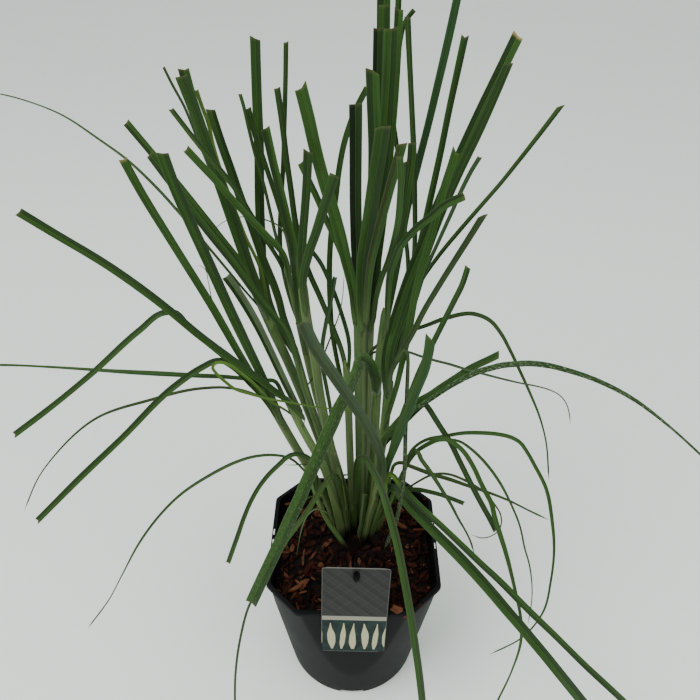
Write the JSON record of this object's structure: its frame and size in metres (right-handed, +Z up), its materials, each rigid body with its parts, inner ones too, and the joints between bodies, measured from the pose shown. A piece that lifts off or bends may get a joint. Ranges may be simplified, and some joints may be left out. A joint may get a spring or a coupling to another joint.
{
  "type": "potted ornamental grass",
  "caption": "Clump of strap-like ornamental grass leaves in a deep black nursery pot with cut corners, dressed with bark mulch, with a printed plant label on a peg.",
  "frame": {"origin": "centre of the pot's foot, on the surface that the pot stands on", "axes": "+Z up, -Y is the front where the label hangs, +X is the viewer's right"},
  "size_m": [0.6641, 0.3125, 0.7537],
  "materials": {
    "pot": "black moulded plastic, slightly dusty",
    "bark_mulch": "rough reddish-brown bark chips",
    "label": "printed plastic card, semi-gloss",
    "label_peg": "black moulded plastic",
    "shoot": "living leaf sheaths, satin",
    "leaf": "living leaf blades, satin with fine veins"
  },
  "bodies": {
    "root": {"bark_mulch": "bark_mulch", "label": "label", "label_peg": "label_peg", "leaf_behind_bundle": "leaf", "leaf_bent_tip": "leaf", "leaf_broad_left": "leaf", "leaf_bundle_back": "leaf", "leaf_bundle_front": "leaf", "leaf_drooping_left": "leaf", "leaf_far_left": "leaf", "leaf_front_grey": "leaf", "leaf_front_inner": "leaf", "leaf_front_left": "leaf", "leaf_half_left_back": "leaf", "leaf_half_left_front": "leaf", "leaf_inner_pale_edge": "leaf", "leaf_left_crossing": "leaf", "leaf_left_grey": "leaf", "leaf_left_light": "leaf", "leaf_left_paired": "leaf", "leaf_left_short": "leaf", "leaf_left_upper": "leaf", "leaf_middle_front": "leaf", "leaf_middle_left": "leaf", "leaf_middle_tall": "leaf", "leaf_olive": "leaf", "leaf_over_label": "leaf", "leaf_right_arching": "leaf", "leaf_right_bluish": "leaf", "leaf_right_blunt": "leaf", "leaf_right_front": "leaf", "leaf_right_low": "leaf", "leaf_right_lower_edge": "leaf", "leaf_right_short": "leaf", "leaf_right_straight": "leaf", "leaf_right_tallest": "leaf", "leaf_soft_green": "leaf", "leaf_tall_left": "leaf", "leaf_top_broad": "leaf", "leaf_top_dark": "leaf", "leaf_top_highest": "leaf", "leaf_top_right": "leaf", "leaf_trailing_broad": "leaf", "leaf_trailing_light": "leaf", "pot": "pot", "shoot_back": "shoot", "shoot_front_right": "shoot", "shoot_half_left": "shoot", "shoot_inner_left": "shoot", "shoot_inner_right": "shoot", "shoot_left_back": "shoot", "shoot_left_front": "shoot", "shoot_left_low": "shoot", "shoot_left_middle": "shoot", "shoot_left_tall": "shoot", "shoot_low_right": "shoot", "shoot_middle": "shoot", "shoot_right": "shoot", "shoot_small_left": "shoot", "shoot_small_right": "shoot"}
  },
  "joints": []
}
